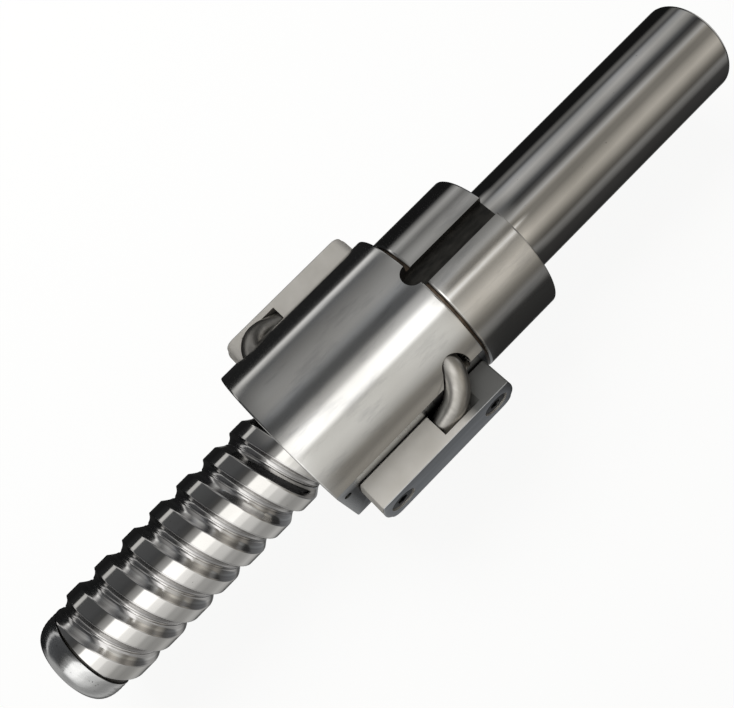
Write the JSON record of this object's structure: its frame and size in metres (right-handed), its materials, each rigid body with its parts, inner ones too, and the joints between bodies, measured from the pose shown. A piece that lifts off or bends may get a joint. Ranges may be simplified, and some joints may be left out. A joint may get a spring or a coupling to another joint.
{
  "type": "ball screw",
  "caption": "Two-start ground ball screw with a plain shaft end and a round nut with a keyed boss, two outside ball return tubes and screwed-on tube clamps.",
  "frame": {"origin": "on the screw axis, in the plane of the nut's shoulder where its keyed boss begins", "axes": "+X along the screw axis towards the plain shaft end, +Z through the keyway, the two ball return circuits at -Y and +Y"},
  "size_m": [0.242, 0.0662, 0.053],
  "materials": {
    "hardened_steel": "ground and polished",
    "ground_steel": "ground",
    "clamp_steel": "bead blasted",
    "tube_steel": "satin",
    "black_steel": "black oxide",
    "ball_steel": "polished",
    "wiper_plastic": "moulded"
  },
  "bodies": {
    "nut": {"nut_body": "ground_steel", "tube_clamp_front": "clamp_steel", "tube_clamp_rear": "clamp_steel", "return_tube_front": "tube_steel", "return_tube_rear": "tube_steel", "clamp_screw_front_left": "black_steel", "clamp_screw_front_right": "black_steel", "clamp_screw_rear_left": "black_steel", "clamp_screw_rear_right": "black_steel", "wiper_thread_end": "wiper_plastic", "wiper_boss_end": "wiper_plastic", "wiper_set_screw_front": "black_steel", "wiper_set_screw_rear": "black_steel", "return_balls_front": "ball_steel", "return_balls_rear": "ball_steel"},
    "ball_train": {"loaded_balls_front": "ball_steel", "loaded_balls_rear": "ball_steel"},
    "screw": {"screw_shaft": "hardened_steel"}
  },
  "joints": [
    {"name": "screw_turn", "type": "hinge", "parent": "nut", "child": "ball_train", "pos_m": [0, 0, 0], "axis": [1, 0, 0], "range_deg": [-90, 1260], "deforming": ["loaded_balls_front", "loaded_balls_rear"]},
    {"name": "screw_travel", "type": "slide", "parent": "ball_train", "child": "screw", "axis": [1, 0, 0], "range_m": [-0.00501, 0.07001]}
  ],
  "couplings": [
    {"joint": "screw_travel", "follows": "screw_turn", "m_per_rad": 0.0031831}
  ]
}
